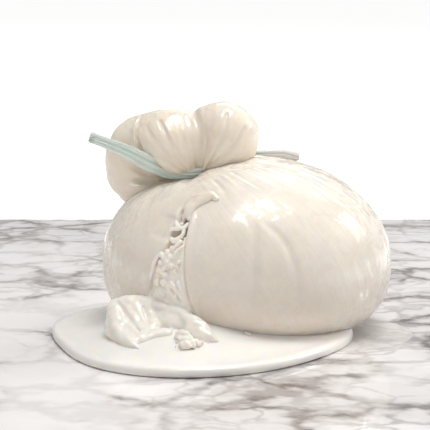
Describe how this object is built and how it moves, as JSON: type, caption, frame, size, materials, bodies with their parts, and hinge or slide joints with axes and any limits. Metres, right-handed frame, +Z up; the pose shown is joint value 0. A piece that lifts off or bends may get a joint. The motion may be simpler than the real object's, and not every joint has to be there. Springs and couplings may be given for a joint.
{
  "type": "burrata on a marble board",
  "caption": "Soft round cheese pouch with a tied, folded knot, torn open at the front so that curd and cream spill into a pool on a marble board.",
  "frame": {"origin": "middle of the board's underside", "axes": "+Z up, +X to the right seen from the front, +Y towards the board's far edge; the tear and the mound of curd face -Y"},
  "size_m": [0.3, 0.4, 0.0967],
  "materials": {
    "marble": "polished, white with grey-brown veins",
    "skin": "moist satin, warm ivory",
    "curd": "wet, creamy white",
    "cream": "wet gloss, cream white",
    "strip": "satin, pale mint green"
  },
  "bodies": {
    "root": {"board": "marble", "pouch": "skin", "filling": "curd", "cream_pool": "cream", "binding_strip": "strip"}
  },
  "joints": []
}
